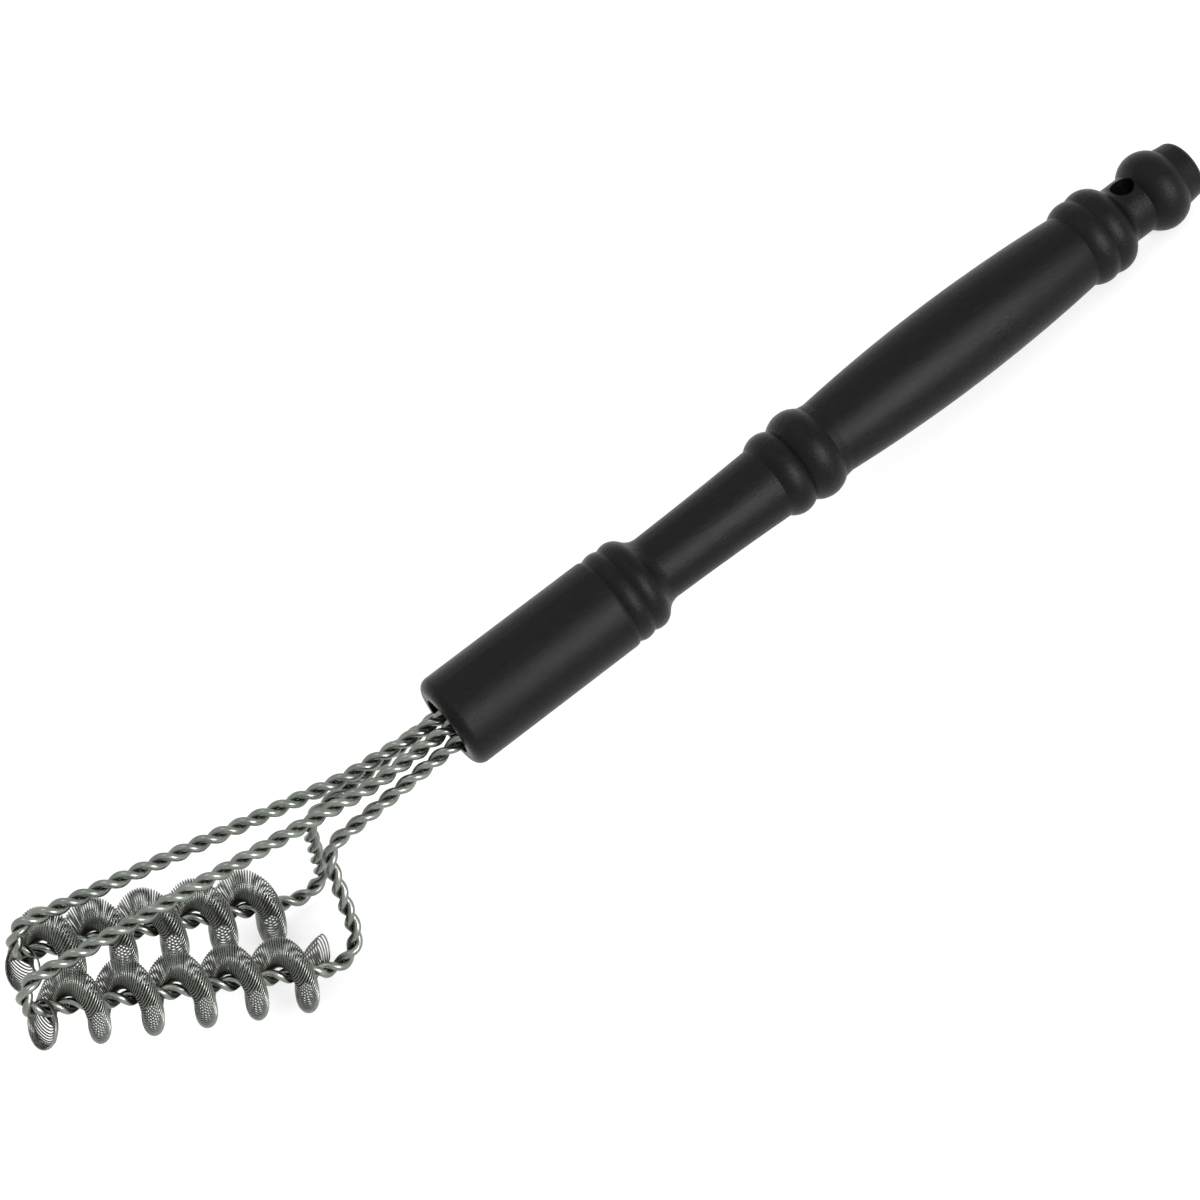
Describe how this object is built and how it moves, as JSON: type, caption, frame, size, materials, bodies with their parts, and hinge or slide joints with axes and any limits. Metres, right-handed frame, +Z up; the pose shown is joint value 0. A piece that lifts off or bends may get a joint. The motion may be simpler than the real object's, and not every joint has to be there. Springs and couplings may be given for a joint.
{
  "type": "grill cleaning brush",
  "caption": "Long-handled grill scrubber: coiled springs wound on twisted-wire loops, set in a turned wooden handle with a hang hole.",
  "frame": {"origin": "centre of the underside of the bounding box, on the surface the brush lies on", "axes": "+X from the scrubbing head towards the butt of the handle, +Y towards the back loop, +Z up; the brush lies on the back spring and its butt ball, with the front spring just clear, so the handle axis dips towards the butt"},
  "size_m": [0.458, 0.0588, 0.0845],
  "materials": {
    "black_lacquered_wood": "satin black lacquer over turned wood",
    "dark_adhesive": "hardened adhesive",
    "loop_wire": "bright galvanised wire",
    "spring_wire": "drawn steel spring wire"
  },
  "bodies": {
    "root": {"handle": "black_lacquered_wood", "socket_plug": "dark_adhesive", "front_loop_wire_a": "loop_wire", "front_loop_wire_b": "loop_wire", "back_loop_wire_a": "loop_wire", "back_loop_wire_b": "loop_wire", "front_scrub_coil": "spring_wire", "back_scrub_coil": "spring_wire"}
  },
  "joints": []
}
